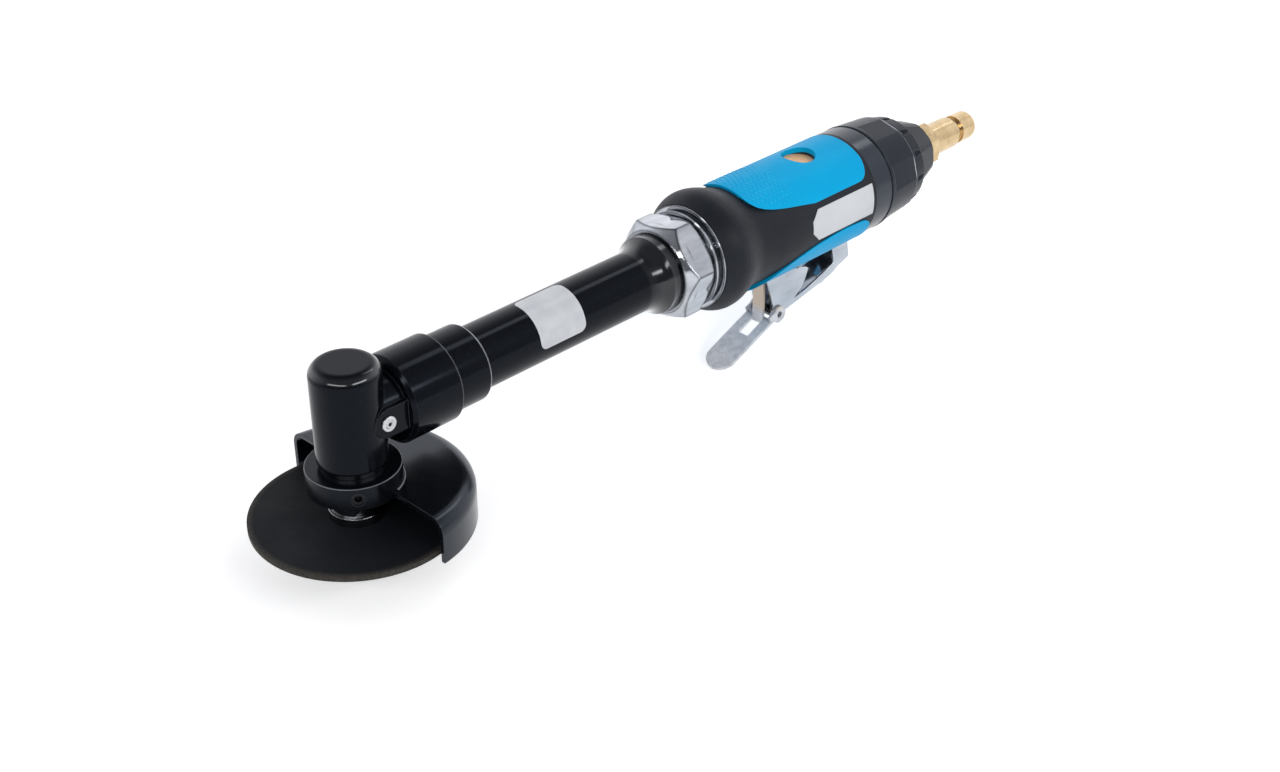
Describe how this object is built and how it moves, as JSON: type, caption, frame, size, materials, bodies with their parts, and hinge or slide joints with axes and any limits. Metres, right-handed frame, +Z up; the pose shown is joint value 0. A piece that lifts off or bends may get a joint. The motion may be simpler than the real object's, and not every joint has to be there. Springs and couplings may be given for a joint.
{
  "type": "pneumatic cut off tool",
  "caption": "Air-driven cut off tool with a guarded disc on an angle head, a long round neck, a rubber-covered handle with a lever throttle and a turning exhaust ring.",
  "frame": {"origin": "centre of the disc's upper face, on the spindle axis", "axes": "X along the neck to the air inlet, Z up from the disc, the plated side of the handle towards -Y"},
  "size_m": [0.3806, 0.0816, 0.0814],
  "materials": {
    "black_paint": "gloss black enamel",
    "black_plastic": "satin moulded plastic",
    "grip_rubber": "matte rubber",
    "blue_plastic": "satin moulded plastic",
    "chrome_plate": "polished plating",
    "bright_steel": "ground steel",
    "dark_steel": "blackened steel",
    "alloy": "machined alloy",
    "abrasive": "resin-bonded abrasive",
    "brass": "turned brass",
    "copper_badge": "satin copper",
    "label_white": "satin plate, blank",
    "vane_fibre": "laminated fibre",
    "felt": "felt"
  },
  "bodies": {
    "tool_body": {"head_body": "black_paint", "coupling_sleeve": "black_paint", "neck_tube": "black_paint", "rear_band": "black_plastic", "inlet_cap": "black_plastic", "grip": "grip_rubber", "valve_seal": "grip_rubber", "top_panel": "blue_plastic", "bottom_panel": "blue_plastic", "neck_nut": "chrome_plate", "lock_ring": "chrome_plate", "front_washer": "chrome_plate", "grease_fitting": "chrome_plate", "lower_bearing": "bright_steel", "upper_bearing": "bright_steel", "pinion_front_bearing": "bright_steel", "pinion_rear_bearing": "bright_steel", "front_end_plate": "bright_steel", "motor_front_bearing": "bright_steel", "motor_cylinder": "bright_steel", "rear_end_plate": "bright_steel", "motor_rear_bearing": "bright_steel", "lever_pin": "bright_steel", "valve_spring": "bright_steel", "bearing_nut": "dark_steel", "bearing_retainer": "dark_steel", "motor_housing": "alloy", "bearing_spacer": "alloy", "inlet_plug": "brass", "inlet_washer": "brass", "neck_bush_front": "brass", "neck_bush_rear": "brass", "valve_bush": "brass", "top_badge": "copper_badge", "label_plate": "label_white", "silencer": "felt"},
    "spindle_group": {"spindle": "dark_steel", "crown_gear": "bright_steel", "cutting_disc": "abrasive", "clamp_washer": "bright_steel", "clamp_screw": "dark_steel"},
    "motor_group": {"pinion": "bright_steel", "drive_shaft": "bright_steel", "shaft_coupling": "dark_steel", "rotor": "bright_steel", "rotor_vanes": "vane_fibre"},
    "guard_group": {"guard_collar": "black_paint", "guard_shell": "black_paint", "guard_screw": "dark_steel"},
    "lever_group": {"lever": "chrome_plate", "catch_pin": "dark_steel", "catch_spring": "dark_steel"},
    "catch_group": {"catch": "chrome_plate"},
    "valve_group": {"valve_stem": "bright_steel"},
    "exhaust_group": {"exhaust_ring": "black_plastic"}
  },
  "joints": [
    {"name": "motor_spin", "type": "hinge", "parent": "tool_body", "child": "motor_group", "pos_m": [0.1876, 0, 0.0378], "axis": [1, 0, 0], "continuous": true},
    {"name": "spindle_spin", "type": "hinge", "parent": "tool_body", "child": "spindle_group", "pos_m": [0, 0, 0], "axis": [0, 0, 1], "continuous": true},
    {"name": "guard_turn", "type": "hinge", "parent": "tool_body", "child": "guard_group", "pos_m": [0, 0, 0.0158], "axis": [0, 0, 1], "range_deg": [-120, 120]},
    {"name": "lever_press", "type": "hinge", "parent": "tool_body", "child": "lever_group", "pos_m": [0.253, 0, 0.0195], "axis": [0, 1, 0], "range_deg": [0, 5.6], "stiffness_Nm_per_rad": 6, "springref_deg": -11.46},
    {"name": "catch_swing", "type": "hinge", "parent": "lever_group", "child": "catch_group", "pos_m": [0.21265, 0, -0.00462], "axis": [0, 1, 0], "range_deg": [0, 39]},
    {"name": "valve_push", "type": "slide", "parent": "tool_body", "child": "valve_group", "axis": [0, 0, 1], "range_m": [0, 0.003], "deforming": ["valve_spring"]},
    {"name": "exhaust_turn", "type": "hinge", "parent": "tool_body", "child": "exhaust_group", "pos_m": [0.272, 0, 0.0378], "axis": [1, 0, 0], "range_deg": [-180, 180]}
  ],
  "couplings": [
    {"joint": "spindle_spin", "follows": "motor_spin", "ratio": 0.66667},
    {"joint": "catch_swing", "follows": "lever_press", "ratio": 6.8},
    {"joint": "valve_push", "follows": "lever_press", "m_per_rad": 0.0256}
  ]
}
